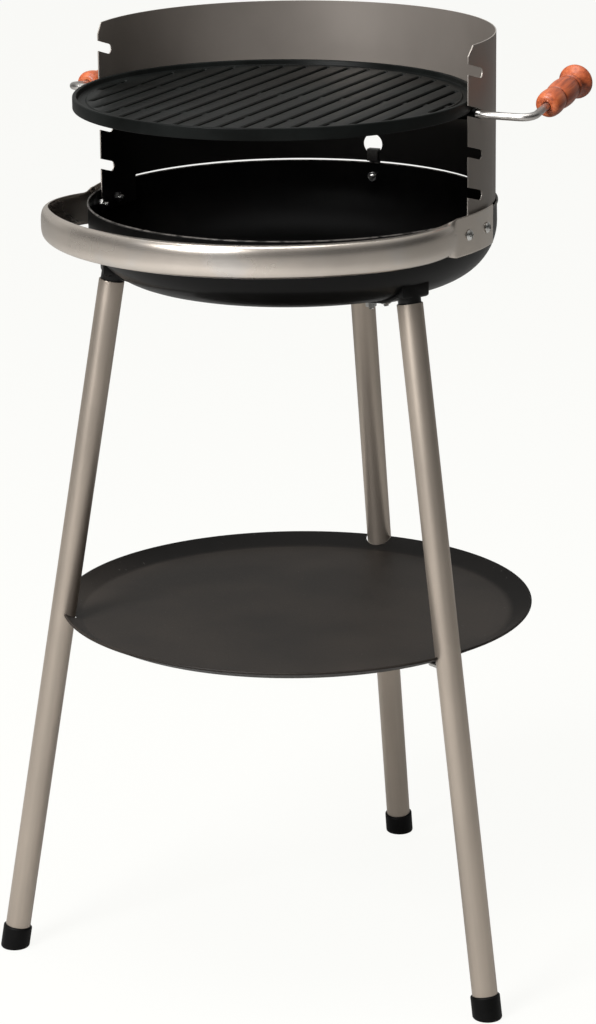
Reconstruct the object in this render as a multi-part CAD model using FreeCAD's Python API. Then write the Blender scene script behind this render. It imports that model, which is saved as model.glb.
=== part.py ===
import FreeCAD, Part
import math
import os

Vec = FreeCAD.Vector
up = Vec(0, 0, 1)
outwards_x = Vec(1, 0, 0)

# Sizes are in millimetres and angles in degrees. While the pieces are made, the bowl's axis is
# x = 0, y = 0, the floor is z = 0, and -Y is the open front of the windshield.

# Fire bowl: upright wall, round corner, shallow domed floor, rolled rim
bowl_outer_r = 174.7
bowl_wall = 1.2
bowl_rim_z = 670.5
bowl_corner_z = 652.0
bowl_corner_r = 46.0
bowl_floor_slope = 8.0
bowl_bead_r = 1.0

# Windshield: a rolled sheet a little longer than a half circle, notched along both upright edges
shield_sheet = 1.0
shield_play = 0.2
shield_top_z = 814.0
shield_gap = 1.7
shield_past_half = 8.0
shield_corner = 8.5
shield_tab_angle = 20.0
shield_tab_bottom_z = 649.5
notch_height = 8.5
notch_pitch = 34.2
notch_fall = 15.0
notches_above_plate = 1
notches_below_plate = 2
vent_r = 8.5
vent_z = 688.0

# Strap at the back that hooks the windshield to the bowl
strap_width = 10.4
strap_sheet = 1.2
strap_bottom_z = 646.0
strap_step_z = 663.5
strap_step_rise = 3.0
strap_hook_below_vent = 6.3
strap_tip_drop = 9.7
strap_play = 0.7

# Front rail: a rolled channel that stands off the bowl, further on the left than on the right, and is
# pressed flat into a curved tab at each end
rail_arc_r = 201.0
rail_arc_x = -13.0
rail_arc_y = -7.5
rail_mid_z = 658.0
rail_height = 28.0
rail_depth = 7.5
rail_edge_r = 6.5
rail_sheet = 1.3
rail_right_arc = 52.8
rail_right_bend_r = 120.0
rail_right_bend_turn = 42.0
rail_right_straight = 6.0
rail_right_tab_from = -17.0
rail_left_arc = 54.0
rail_left_bend_r = 70.0
rail_left_bend_turn = 62.0
rail_left_straight = 23.0
rail_left_tab_from = -13.5
rail_play = 0.3
rail_tab_height = 33.0
rail_tab_to = 7.0
rail_screw_angles = (-9.5, 1.5)

# Grill plate: a cast disc with a raised lip, a skirt and rows of slots, set forward of the bowl's axis
plate_r = 169.5
plate_centre_y = -34.0
plate_rim_z = 768.5
plate_rim_width = 4.0
plate_lip = 4.5
plate_skirt = 13.0
plate_web = 4.0
plate_edge = 1.0
gutter_width = 8.0
gutter_depth = 1.0
slot_width = 3.8
slot_pitch = 19.0
slots_each_side = 8
slot_stop = 3.5
groove_depth = 1.2
bridge_length = 8.0
bridge_offsets = (-92.0, 13.0)

# Handles: bent rods set in sleeves under the plate, with turned wooden grips
sleeve_r = 5.0
sleeve_inner_x = 112.0
sleeve_outer_x = 169.3
sleeve_rib_width = 6.0
rod_r = 3.25
rod_y = -1.5
rod_z = 754.0
rod_play = 0.3
rod_fit = 0.05
rod_end_gap = 1.0
rod_inner_x = 120.0
rod_bend_r = 11.0
handle_half_spans = {"right": 219.0, "left": 212.5}
grip_rises = {"right": 8.0, "left": -6.0}
grip_start_y = 31.0
grip_length = 78.0
grip_bore_depth = 56.0
grip_end_r = 6.5
grip_ring_r = 10.5
grip_ring_length = 20.8
grip_groove_r = 10.1
grip_belly_r = 11.9
grip_belly_end = 52.2
grip_bead_r = 11.2
grip_bead_end = 57.6
grip_neck_r = 9.6
grip_flare_r = 11.0
grip_knob_r = 14.7
grip_knob_start = 67.0
grip_knob_start_r = 14.0
grip_knob_end = 75.6
grip_knob_end_r = 10.6

# Legs, feet and the brackets under the bowl, turned a little from the windshield's middle
leg_azimuths = {"rear": 92.8, "left": 212.8, "right": 332.8}
leg_r = 11.0
leg_wall = 1.2
leg_floor_r = 258.0
leg_splay = 9.52
leg_top_z = 606.0
leg_start = 7.0
foot_r = 12.7
foot_length = 21.0
foot_chamfer = 1.4
foot_round = 2.2
spigot_fit = 0.1
spigot_in_leg = 30.0
spigot_above_leg = 10.0
bracket_half_width = 13.75
bracket_inner_r = 104.0
bracket_outer_r = 164.5
bracket_sheet = 2.4
bracket_gap = 0.1
hood_inner_r = 142.0
hood_bottom_z = 611.0
hood_height = 20.0
hood_round = 3.0
bracket_bolt_r = 115.0
bracket_bolt_half_gap = 8.0

# Tray: a flat round pressing with a sloped lip, let in around the legs and carried on three pins
tray_rim_r = 205.5
tray_rim_z = 312.0
tray_lip_width = 16.0
tray_lip_rise = 9.0
tray_sheet = 1.0
tray_bead_r = 1.2
tray_leg_play = 1.0
tray_collar_drop = 3.0
pin_r = 2.5
pin_inner_r = 183.0
pin_in_leg = 8.0

# Fasteners
screw_r = 2.4
screw_hole_r = 2.7
screw_head_r = 4.8
screw_head_height = 3.2
drive_width = 1.2
drive_depth = 1.1
drive_reach = 2.7
nut_across_flats = 8.0
nut_height = 4.0
nut_chamfer = 0.6
thread_fit = 0.05
thread_past_nut = 2.2
seat_gap = 0.1
through = 40.0

# Sizes that follow from the ones above
bowl_inner_r = bowl_outer_r - bowl_wall
bead_centre_r = bowl_inner_r + bowl_bead_r
wall_top_z = bowl_rim_z - bowl_bead_r
shield_outer_r = bowl_inner_r - shield_play
shield_inner_r = shield_outer_r - shield_sheet
shield_bottom_z = bowl_rim_z + shield_gap
rail_tab_inner_r = bead_centre_r + bowl_bead_r + rail_play
rail_tab_outer_r = rail_tab_inner_r + rail_sheet
rail_tab_bottom_z = rail_mid_z - rail_tab_height / 2
rail_tab_top_z = rail_mid_z + rail_tab_height / 2
notch_z = rod_z + notch_height / 2 - rod_r - rod_play
plate_top_z = plate_rim_z - plate_lip
plate_under_z = plate_top_z - plate_web
plate_bottom_z = plate_rim_z - plate_skirt
plate_inner_r = plate_r - plate_rim_width
field_r = plate_inner_r - gutter_width
gutter_z = plate_top_z - gutter_depth
tray_floor_r = tray_rim_r - tray_lip_width
tray_floor_z = tray_rim_z - tray_lip_rise
leg_lean = math.radians(leg_splay)
leg_way = Vec(-math.sin(leg_lean), 0, math.cos(leg_lean))
leg_foot = Vec(leg_floor_r, 0, 0)
leg_top = leg_top_z / math.cos(leg_lean)


def point(r, azimuth, z):
    a = math.radians(azimuth)
    return Vec(r * math.cos(a), r * math.sin(a), z)


def leg_axis_r(z):
    return leg_floor_r - z * math.tan(leg_lean)


def line_edge(a, b):
    # A straight edge in the XZ plane between two points (x, z)
    return Part.LineSegment(Vec(a[0], 0, a[1]), Vec(b[0], 0, b[1])).toShape()


def arc_through(a, via, b):
    # An arc in the XZ plane through three points (x, z)
    return Part.Arc(*[Vec(x, 0, z) for x, z in (a, via, b)]).toShape()


def arc_edge(centre, r, start, end):
    # An arc in the XZ plane about centre (x, z), from the start angle to the end angle
    angles = [math.radians(angle) for angle in (start, (start + end) / 2, end)]
    return arc_through(*[(centre[0] + r * math.cos(a), centre[1] + r * math.sin(a)) for a in angles])


def polygon_face(corners):
    # A flat face in the XZ plane through the corners (x, z)
    ends = corners[1:] + corners[:1]
    return Part.Face(Part.Wire([line_edge(a, b) for a, b in zip(corners, ends)]))


def spun(face, turn=360.0):
    return face.revolve(Vec(0, 0, 0), up, turn)


def turned_to(shape, azimuth):
    copy = shape.copy()
    copy.rotate(Vec(0, 0, 0), up, azimuth)
    return copy


def mirrored(shape):
    return shape.mirror(Vec(0, 0, 0), outwards_x)


def laid_along(shape, at, way):
    # Moves a shape made along +Z so that its origin is at a point and its +Z runs along a way
    copy = shape.copy()
    copy.Placement = FreeCAD.Placement(at, FreeCAD.Rotation(up, way))
    return copy


def ring_sector(outer, inner, z_low, z_high, start, end):
    # Part of an upright ring, between two azimuths
    face = polygon_face([(inner, z_low), (outer, z_low), (outer, z_high), (inner, z_high)])
    return turned_to(spun(face, end - start), start)


def box(x, y, z):
    # A box from its limits along X, Y and Z
    return Part.makeBox(x[1] - x[0], y[1] - y[0], z[1] - z[0], Vec(x[0], y[0], z[0]))


def bar(r, start, way, length):
    return Part.makeCylinder(r, length, start, way)


def strip(outline, width):
    # A polygon in the XZ plane, given its width evenly about that plane
    solid = polygon_face(outline).extrude(Vec(0, width, 0))
    solid.translate(Vec(0, -width / 2, 0))
    return solid


def pan_screw(grip):
    # Domed head with a cross drive, on a shank along -Z, with the seat of the head at z = 0
    dome_r = (screw_head_r ** 2 + screw_head_height ** 2) / (2 * screw_head_height)
    head = Part.makeSphere(dome_r, Vec(0, 0, screw_head_height - dome_r))
    head = head.common(Part.makeCylinder(screw_head_r, screw_head_height))
    half = drive_width / 2
    slot = box((-drive_reach, drive_reach), (-half, half),
               (screw_head_height - drive_depth, screw_head_height))
    shank = Part.makeCylinder(screw_r, grip, Vec(0, 0, -grip))
    return head.fuse(shank).cut([slot, turned_to(slot, 90.0)])


def hex_nut():
    # A nut along +Z with its seat at z = 0 and its outer corners chamfered
    corner_r = nut_across_flats / math.sqrt(3)
    corners = [point(corner_r, 60.0 * i, 0) for i in range(7)]
    prism = Part.Face(Part.makePolygon(corners)).extrude(up * nut_height)
    cone = Part.makeCone(corner_r + nut_height / 2, corner_r - nut_chamfer, nut_height)
    return prism.common(cone).cut(Part.makeCylinder(screw_r + thread_fit, nut_height))


def radial_fastener(outer_seat_r, inner_seat_r, azimuth, z):
    # A screw driven in towards the bowl's axis, and the nut on its end
    inwards = point(-1, azimuth, 0)
    grip = outer_seat_r - inner_seat_r + nut_height + thread_past_nut + 2 * seat_gap
    screw = laid_along(pan_screw(grip), point(outer_seat_r + seat_gap, azimuth, z), -inwards)
    nut = laid_along(hex_nut(), point(inner_seat_r - seat_gap, azimuth, z), inwards)
    return screw, nut


def radial_hole(azimuth):
    # The screw hole at the rail's mid height, through every sheet there
    start = point(bowl_inner_r - through / 2, azimuth, rail_mid_z)
    return bar(screw_hole_r, start, point(1, azimuth, 0), through)


def rail_screw_azimuths():
    return [side for angle in rail_screw_angles for side in (angle, 180.0 - angle)]


def bowl_dome():
    # The height of the middle of the floor's dome on the bowl's axis, and its radius
    slope = math.radians(bowl_floor_slope)
    join_r = bowl_outer_r - bowl_corner_r + bowl_corner_r * math.sin(slope)
    join_z = bowl_corner_z - bowl_corner_r * math.cos(slope)
    dome_r = join_r / math.sin(slope)
    return join_z + dome_r * math.cos(slope), dome_r


def bowl_mass(offset):
    # The bowl's whole volume, grown by offset, as one solid
    dome_z, dome_r = bowl_dome()
    turn = 90.0 - bowl_floor_slope
    wall_r = bowl_outer_r + offset
    bottom = (0, dome_z - dome_r - offset)
    edges = [line_edge((wall_r, wall_top_z), (wall_r, bowl_corner_z)),
             arc_edge((bowl_outer_r - bowl_corner_r, bowl_corner_z), bowl_corner_r + offset, 0, -turn),
             arc_edge((0, dome_z), dome_r + offset, -turn, -90.0),
             line_edge(bottom, (0, wall_top_z)),
             line_edge((0, wall_top_z), (wall_r, wall_top_z))]
    return spun(Part.Face(Part.Wire(edges)))


def bracket_bolt_seats():
    # Points on the bowl's outer face under a bracket, with the outward way there
    dome_z, dome_r = bowl_dome()
    seats = []
    for y in (-bracket_bolt_half_gap, bracket_bolt_half_gap):
        depth = math.sqrt(dome_r ** 2 - bracket_bolt_r ** 2 - y ** 2)
        at = Vec(bracket_bolt_r, y, dome_z - depth)
        seats.append((at, (at - Vec(0, 0, dome_z)).normalize()))
    return seats


def bracket_bolt_holes():
    return [bar(screw_hole_r, at - outwards * (through / 2), outwards, through)
            for at, outwards in bracket_bolt_seats()]


def fire_bowl():
    shell = bowl_mass(0).cut(bowl_mass(-bowl_wall))
    bowl = shell.fuse(Part.makeTorus(bead_centre_r, bowl_bead_r, Vec(0, 0, wall_top_z)))
    holes = [radial_hole(azimuth) for azimuth in rail_screw_azimuths() + [90.0]]
    for azimuth in leg_azimuths.values():
        holes += [turned_to(hole, azimuth) for hole in bracket_bolt_holes()]
    return bowl.cut(holes).removeSplitter()


def notch(level):
    # An open slot with a round end, cut in from the upright edge on the right and falling towards the back
    half = notch_height / 2
    start_x = shield_inner_r - through / 2
    mouth = box((start_x, start_x + through), (-through, 0), (-half, half))
    slot = mouth.fuse(bar(half, Vec(start_x, 0, 0), outwards_x, through))
    slot.rotate(Vec(0, 0, 0), outwards_x, -notch_fall)
    slot.translate(Vec(0, rod_y, notch_z + level * notch_pitch))
    return slot


def shield_corner_cut():
    # The slanted top corner of the upright edge on the right
    edge = point(shield_outer_r, -shield_past_half, shield_top_z)
    start_x = edge.x - through / 2
    front_y, back_y = edge.y - through, edge.y + shield_corner
    low_z, high_z = edge.z - shield_corner, edge.z + through
    corners = [(edge.y, low_z), (back_y, edge.z), (back_y, high_z), (front_y, high_z), (front_y, low_z)]
    outline = [Vec(start_x, y, z) for y, z in corners + corners[:1]]
    return Part.Face(Part.makePolygon(outline)).extrude(outwards_x * through)


def windshield():
    start, end = -shield_past_half, 180.0 + shield_past_half
    sheet = ring_sector(shield_outer_r, shield_inner_r, shield_bottom_z, shield_top_z, start, end)
    tab = ring_sector(shield_outer_r, shield_inner_r, shield_tab_bottom_z, shield_bottom_z,
                      start, start + shield_tab_angle)
    sheet = sheet.fuse([tab, mirrored(tab)])
    cuts = [shield_corner_cut()]
    cuts += [notch(level) for level in range(-notches_below_plate, notches_above_plate + 1)]
    cuts += [mirrored(cut) for cut in cuts]
    cuts += [radial_hole(azimuth) for azimuth in rail_screw_azimuths()]
    cuts.append(bar(vent_r, Vec(0, shield_inner_r - through / 2, vent_z), Vec(0, 1, 0), through))
    return sheet.cut(cuts).removeSplitter()


def rear_strap():
    # A strip screwed to the bowl, joggled over the rim and hooked through the vent hole
    t = strap_sheet
    hook_z = vent_z - strap_hook_below_vent
    tip_z = hook_z - strap_tip_drop
    near = bowl_outer_r + seat_gap
    clear = bead_centre_r + bowl_bead_r + rail_play
    inside = shield_inner_r - strap_play
    step_top_z = strap_step_z + strap_step_rise
    outline = [(near, strap_bottom_z), (near, strap_step_z), (clear, step_top_z), (clear, hook_z),
               (inside, hook_z), (inside, tip_z), (inside - t, tip_z), (inside - t, hook_z + t),
               (clear + t, hook_z + t), (clear + t, step_top_z - t / 2),
               (near + t, strap_step_z - t / 2), (near + t, strap_bottom_z)]
    return turned_to(strip(outline, strap_width), 90.0).cut(radial_hole(90.0))


def rail_section():
    # The channel's section in the XZ plane: outer face at x = 0, open towards -X
    half = rail_height / 2
    r = rail_edge_r
    edges = []
    for gap in (0, rail_sheet):
        edges += [line_edge((-rail_depth, half - gap), (-r, half - gap)),
                  arc_edge((-r, half - r), r - gap, 90.0, 0.0),
                  line_edge((-gap, half - r), (-gap, r - half)),
                  arc_edge((-r, r - half), r - gap, 0.0, -90.0),
                  line_edge((-r, gap - half), (-rail_depth, gap - half))]
    for side in (-1, 1):
        edges.append(line_edge((-rail_depth, side * half), (-rail_depth, side * (half - rail_sheet))))
    return Part.Wire(Part.sortEdges(edges)[0])


def rail_half(arc_x, arc_turn, bend_r, bend_turn, straight):
    # The right-hand half from the front: an arc about the rail's own middle, a bend and a straight run
    middle = Vec(arc_x, rail_arc_y, rail_mid_z)
    arc_end = arc_turn - 90.0
    bend_end = arc_end + bend_turn
    bend_centre = middle + point(rail_arc_r - bend_r, arc_end, 0)
    front = [middle + point(rail_arc_r, azimuth, 0) for azimuth in (-90.0, (arc_end - 90.0) / 2, arc_end)]
    bend = [bend_centre + point(bend_r, azimuth, 0)
            for azimuth in (arc_end, (arc_end + bend_end) / 2, bend_end)]
    run_end = bend[2] + point(straight, bend_end + 90.0, 0)
    path = Part.Wire([Part.Arc(*front).toShape(), Part.Arc(*bend).toShape(),
                      Part.LineSegment(bend[2], run_end).toShape()])
    section = turned_to(rail_section(), -90.0)
    section.translate(front[0])
    return path.makePipeShell([section], True, False)


def rail_tab(start):
    return ring_sector(rail_tab_outer_r, rail_tab_inner_r, rail_tab_bottom_z, rail_tab_top_z,
                       start, rail_tab_to)


def front_rail():
    right = rail_half(rail_arc_x, rail_right_arc, rail_right_bend_r, rail_right_bend_turn,
                      rail_right_straight)
    left = rail_half(-rail_arc_x, rail_left_arc, rail_left_bend_r, rail_left_bend_turn, rail_left_straight)
    inside = Part.makeCylinder(rail_tab_inner_r, 2 * rail_height, Vec(0, 0, rail_mid_z - rail_height))
    tabs = [rail_tab(rail_right_tab_from), mirrored(rail_tab(rail_left_tab_from))]
    rail = right.fuse(mirrored(left)).cut(inside).fuse(tabs)
    return rail.cut([radial_hole(azimuth) for azimuth in rail_screw_azimuths()]).removeSplitter()


def rail_fasteners():
    # The rear pair also passes through the windshield's tabs, the front pair only through the bowl
    screws, nuts = [], []
    for angle in rail_screw_angles:
        inner_seat_r = shield_inner_r if angle > -shield_past_half else bowl_inner_r
        for azimuth in (angle, 180.0 - angle):
            screw, nut = radial_fastener(rail_tab_outer_r, inner_seat_r, azimuth, rail_mid_z)
            screws.append(screw)
            nuts.append(nut)
    return screws, nuts


def strap_fasteners():
    return radial_fastener(bowl_outer_r + seat_gap + strap_sheet, bowl_inner_r, 90.0, rail_mid_z)


def slot_stretches(x):
    # Where the slot at x is open right through: from one end to the other, less the bridges
    half = math.sqrt((field_r - slot_stop) ** 2 - x ** 2)
    stops = [-half]
    for middle in bridge_offsets:
        if abs(middle) + bridge_length < half:
            stops += [middle - bridge_length / 2, middle + bridge_length / 2]
    stops.append(half)
    return list(zip(stops[0::2], stops[1::2]))


def slot_cut(x, start, end, z_low):
    # A slot along Y with round ends, from z_low up through the cooking face
    half = slot_width / 2
    stretch = (start + half, end - half)
    ends = [Part.makeCylinder(half, plate_rim_z - z_low, Vec(x, y, z_low)) for y in stretch]
    return box((x - half, x + half), stretch, (z_low, plate_rim_z)).fuse(ends)


def plate_disc():
    # The disc about its own middle: web, gutter, lip and skirt in one section, then the slots
    section = [(0, plate_under_z), (plate_inner_r, plate_under_z), (plate_inner_r, plate_bottom_z),
               (plate_r, plate_bottom_z), (plate_r, plate_rim_z - plate_edge),
               (plate_r - plate_edge, plate_rim_z), (plate_inner_r + plate_edge, plate_rim_z),
               (plate_inner_r, gutter_z), (field_r + gutter_depth, gutter_z), (field_r, plate_top_z),
               (0, plate_top_z)]
    cuts = []
    for i in range(-slots_each_side, slots_each_side + 1):
        x = i * slot_pitch
        stretches = slot_stretches(x)
        cuts += [slot_cut(x, start, end, plate_bottom_z) for start, end in stretches]
        cuts.append(slot_cut(x, stretches[0][0], stretches[-1][1], plate_top_z - groove_depth))
    return spun(polygon_face(section)).cut(cuts)


def plate_sleeve():
    # The cast sleeve for the right-hand rod, with the rib that carries it, kept below the gutter
    sleeve = bar(sleeve_r, Vec(sleeve_inner_x, rod_y, rod_z), outwards_x, sleeve_outer_x - sleeve_inner_x)
    half = sleeve_rib_width / 2
    rib = box((sleeve_inner_x, plate_inner_r - plate_rim_width), (rod_y - half, rod_y + half),
              (rod_z, plate_top_z))
    below = box((sleeve_inner_x, sleeve_outer_x), (rod_y - sleeve_r, rod_y + sleeve_r),
                (rod_z - sleeve_r, gutter_z))
    return sleeve.fuse(rib).common(below)


def grill_plate():
    plate = plate_disc()
    plate.translate(Vec(0, plate_centre_y, 0))
    sleeve = plate_sleeve()
    bore = bar(rod_r + rod_fit, Vec(rod_inner_x - rod_end_gap, rod_y, rod_z), outwards_x, plate_r)
    return plate.fuse([sleeve, mirrored(sleeve)]).cut([bore, mirrored(bore)]).removeSplitter()


def rod_corner(side):
    return Vec(handle_half_spans[side], rod_y, rod_z)


def grip_axis(side):
    # Where the axis of a grip starts on the right-hand side, and its way from the rod's bend
    rise = math.radians(grip_rises[side])
    way = Vec(0, math.cos(rise), math.sin(rise))
    return rod_corner(side) + way * ((grip_start_y - rod_y) / way.y), way


def handle_rod(side):
    grip_start, grip_way = grip_axis(side)
    start = Vec(rod_inner_x, rod_y, rod_z)
    bend_start = rod_corner(side) - outwards_x * rod_bend_r
    bend_end = rod_corner(side) + grip_way * rod_bend_r
    bend_centre = bend_start + grip_way * rod_bend_r
    bend_middle = bend_centre + (outwards_x - grip_way).normalize() * rod_bend_r
    end = grip_start + grip_way * (grip_bore_depth - rod_end_gap)
    path = Part.Wire([Part.LineSegment(start, bend_start).toShape(),
                      Part.Arc(bend_start, bend_middle, bend_end).toShape(),
                      Part.LineSegment(bend_end, end).toShape()])
    circle = Part.Wire(Part.Circle(start, outwards_x, rod_r).toShape())
    return path.makePipeShell([circle], True, False)


def wooden_grip(side):
    # Turned about +Z: a rounded front, a long belly, a neck bead and a flared knob with a domed end
    ring_end = (grip_groove_r, grip_ring_length)
    belly_end = (grip_groove_r, grip_belly_end)
    bead_end = (grip_neck_r, grip_bead_end)
    knob_start = (grip_knob_start_r, grip_knob_start)
    knob_end = (grip_knob_end_r, grip_knob_end)
    crown_rise = grip_length - grip_knob_end
    crown_r = (grip_knob_end_r ** 2 + crown_rise ** 2) / (2 * crown_rise)
    crown_start = math.degrees(math.acos(grip_knob_end_r / crown_r))
    edges = [line_edge((0, 0), (grip_end_r, 0)),
             arc_through((grip_end_r, 0), (grip_ring_r, grip_ring_length / 3), ring_end),
             arc_through(ring_end, (grip_belly_r, (grip_ring_length + grip_belly_end) / 2), belly_end),
             arc_through(belly_end, (grip_bead_r, (grip_belly_end + grip_bead_end) / 2), bead_end),
             arc_through(bead_end, (grip_flare_r, (grip_bead_end + grip_knob_start) / 2), knob_start),
             arc_through(knob_start, (grip_knob_r, (grip_knob_start + grip_knob_end) / 2), knob_end),
             arc_edge((0, grip_length - crown_r), crown_r, crown_start, 90.0),
             line_edge((0, grip_length), (0, 0))]
    bore = Part.makeCylinder(rod_r + rod_fit, grip_bore_depth)
    return laid_along(spun(Part.Face(Part.Wire(edges))).cut(bore), *grip_axis(side))


def pin_axis():
    # Where a tray pin starts under the tray's floor, and how long it is to its end inside the leg
    z = tray_floor_z - tray_sheet - seat_gap - pin_r
    return Vec(pin_inner_r, 0, z), leg_axis_r(z) - leg_r + pin_in_leg - pin_inner_r


def tray_pin():
    start, length = pin_axis()
    return bar(pin_r, start, outwards_x, length)


def leg_tube():
    start = leg_foot + leg_way * leg_start
    length = leg_top - leg_start
    tube = bar(leg_r, start, leg_way, length).cut(bar(leg_r - leg_wall, start, leg_way, length))
    pin_start, pin_length = pin_axis()
    return tube.cut(bar(pin_r + thread_fit, pin_start, outwards_x, pin_length))


def foot_cap():
    # A cup pushed over the end of the leg, with its sole cut flat on the floor and rounded
    section = [(0, -foot_r), (foot_r, -foot_r), (foot_r, foot_length - foot_chamfer),
               (foot_r - foot_chamfer, foot_length), (0, foot_length)]
    cup = laid_along(spun(polygon_face(section)), leg_foot, leg_way)
    reach = 2 * foot_r
    cup = cup.cut(box((leg_floor_r - reach, leg_floor_r + reach), (-reach, reach), (-reach, 0)))
    sole = [edge for edge in cup.Edges if edge.BoundBox.ZMax < seat_gap]
    cup = cup.makeFillet(foot_round, sole)
    return cup.cut(bar(leg_r + seat_gap, leg_foot + leg_way * (leg_start - seat_gap), leg_way, foot_length))


def leg_bracket():
    # A pressed strap under the bowl, a hood over the head of the leg and the spigot inside the leg
    sides = (-bracket_half_width, bracket_half_width)
    hood_top_z = hood_bottom_z + hood_height
    strap = bowl_mass(bracket_gap + bracket_sheet)
    strap = strap.common(box((bracket_inner_r, bracket_outer_r), sides, (0, hood_top_z)))
    hood = box((hood_inner_r, bracket_outer_r), sides, (hood_bottom_z, hood_top_z))
    lower = [edge for edge in hood.Edges if edge.BoundBox.ZMax < hood_bottom_z + seat_gap]
    hood = hood.makeFillet(hood_round, lower)
    spigot = bar(leg_r - leg_wall - spigot_fit, leg_foot + leg_way * (leg_top - spigot_in_leg), leg_way,
                 spigot_in_leg + spigot_above_leg)
    bracket = strap.fuse([hood, spigot]).cut([bowl_mass(bracket_gap)] + bracket_bolt_holes())
    return bracket.removeSplitter()


def bracket_fasteners():
    bolts, nuts = [], []
    under = bracket_gap + bracket_sheet + seat_gap
    grip = bowl_wall + seat_gap + under + nut_height + thread_past_nut
    for azimuth in leg_azimuths.values():
        for at, outwards in bracket_bolt_seats():
            bolt = laid_along(pan_screw(grip), at - outwards * (bowl_wall + seat_gap), outwards * -1)
            nut = laid_along(hex_nut(), at + outwards * under, outwards)
            bolts.append(turned_to(bolt, azimuth))
            nuts.append(turned_to(nut, azimuth))
    return bolts, nuts


def storage_tray():
    # Floor and sloped lip in one section, a rolled edge, and a low collar let in around each leg
    upper = [(0, tray_floor_z), (tray_floor_r, tray_floor_z), (tray_rim_r, tray_rim_z)]
    lower = [(r, z - tray_sheet) for r, z in upper]
    tray = spun(polygon_face(upper + lower[::-1]))
    tray = tray.fuse(Part.makeTorus(tray_rim_r, tray_bead_r, Vec(0, 0, tray_rim_z - tray_sheet / 2)))
    collar_z = tray_rim_z - tray_collar_drop
    collar_r = tray_floor_r + tray_lip_width * (collar_z - lower[1][1]) / tray_lip_rise
    collar_limit = spun(polygon_face(lower[:2] + [(collar_r, collar_z), (0, collar_z)]))
    start = leg_foot + leg_way * (tray_floor_z - through)
    gap_r = leg_r + tray_leg_play
    for azimuth in leg_azimuths.values():
        gap = turned_to(bar(gap_r, start, leg_way, 3 * through), azimuth)
        collar = turned_to(bar(gap_r + tray_sheet, start, leg_way, 3 * through), azimuth)
        tray = tray.fuse(collar.common(collar_limit)).cut(gap)
    return tray.removeSplitter()


def around_legs(piece):
    return [turned_to(piece, azimuth) for azimuth in leg_azimuths.values()]


def all_nodes():
    nodes = {"fire_bowl": fire_bowl(), "windshield": windshield(), "rear_strap": rear_strap(),
             "front_rail": front_rail(), "grill_plate": grill_plate(), "storage_tray": storage_tray()}
    nodes["tray_pins"] = Part.makeCompound(around_legs(tray_pin()))
    nodes["strap_screw"], nodes["strap_nut"] = strap_fasteners()
    for screw_node, nut_node, (screws, nuts) in (("rail_screws", "rail_nuts", rail_fasteners()),
                                                 ("bracket_bolts", "bracket_nuts", bracket_fasteners())):
        nodes[screw_node] = Part.makeCompound(screws)
        nodes[nut_node] = Part.makeCompound(nuts)
    for name, make in (("handle_rod", handle_rod), ("wooden_grip", wooden_grip)):
        nodes[name + "_right"] = make("right")
        nodes[name + "_left"] = mirrored(make("left"))
    for name, piece in (("leg_bracket", leg_bracket()), ("leg_tube", leg_tube()), ("foot_cap", foot_cap())):
        for side, placed in zip(leg_azimuths, around_legs(piece)):
            nodes[name + "_" + side] = placed
    return nodes


def main():
    nodes = all_nodes()
    # The part's origin is on the floor, in the middle of its footprint
    whole = Part.makeCompound(list(nodes.values())).optimalBoundingBox(False, False)
    shift = Vec(-(whole.XMin + whole.XMax) / 2, -(whole.YMin + whole.YMax) / 2, -whole.ZMin)
    print("bowl axis at x = %.3f, y = %.3f, size %.1f x %.1f x %.1f"
          % (shift.x, shift.y, whole.XLength, whole.YLength, whole.ZLength))
    os.makedirs("parts", exist_ok=True)
    for name, shape in nodes.items():
        placed = shape.copy()
        placed.translate(shift)
        placed.exportStep("parts/" + name + ".step")
        print("%-20s solids %d  valid %s  volume %.0f"
              % (name, len(placed.Solids), placed.isValid(), placed.Volume))


main()
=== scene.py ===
from math import acos, atan2, cos, degrees, pi, radians, sin, sqrt, tan

import bmesh
import bpy
from mathutils import Matrix, Vector


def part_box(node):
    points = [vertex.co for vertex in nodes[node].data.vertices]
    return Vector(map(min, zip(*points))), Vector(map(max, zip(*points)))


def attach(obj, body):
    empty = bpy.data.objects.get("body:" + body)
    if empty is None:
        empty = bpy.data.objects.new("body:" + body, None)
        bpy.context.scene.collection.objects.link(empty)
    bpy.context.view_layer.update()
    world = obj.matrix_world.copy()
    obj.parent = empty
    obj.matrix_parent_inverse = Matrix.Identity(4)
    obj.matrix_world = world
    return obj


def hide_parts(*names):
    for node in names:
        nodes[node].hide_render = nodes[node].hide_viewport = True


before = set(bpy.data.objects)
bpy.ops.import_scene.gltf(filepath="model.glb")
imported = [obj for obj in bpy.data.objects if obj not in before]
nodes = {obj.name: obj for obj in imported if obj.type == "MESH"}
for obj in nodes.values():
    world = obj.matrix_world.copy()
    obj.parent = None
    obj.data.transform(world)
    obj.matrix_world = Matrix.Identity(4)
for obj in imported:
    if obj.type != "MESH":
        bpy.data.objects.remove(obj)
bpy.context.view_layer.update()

mm = 0.001
scene = bpy.context.scene
legSides = ("rear", "left", "right")
bowlLow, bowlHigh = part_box("fire_bowl")
axis = Vector(((bowlLow.x + bowlHigh.x) / 2, (bowlLow.y + bowlHigh.y) / 2, 0))  # the foot of the bowl's axis
ontoAxis = Matrix.Translation(axis)
print("frame:", len(nodes), "nodes, bowl axis at", round(axis.x, 4), round(axis.y, 4))


def inMm(**sizes):
    return {name: size * mm for name, size in sizes.items()}


# Node graphs

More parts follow.
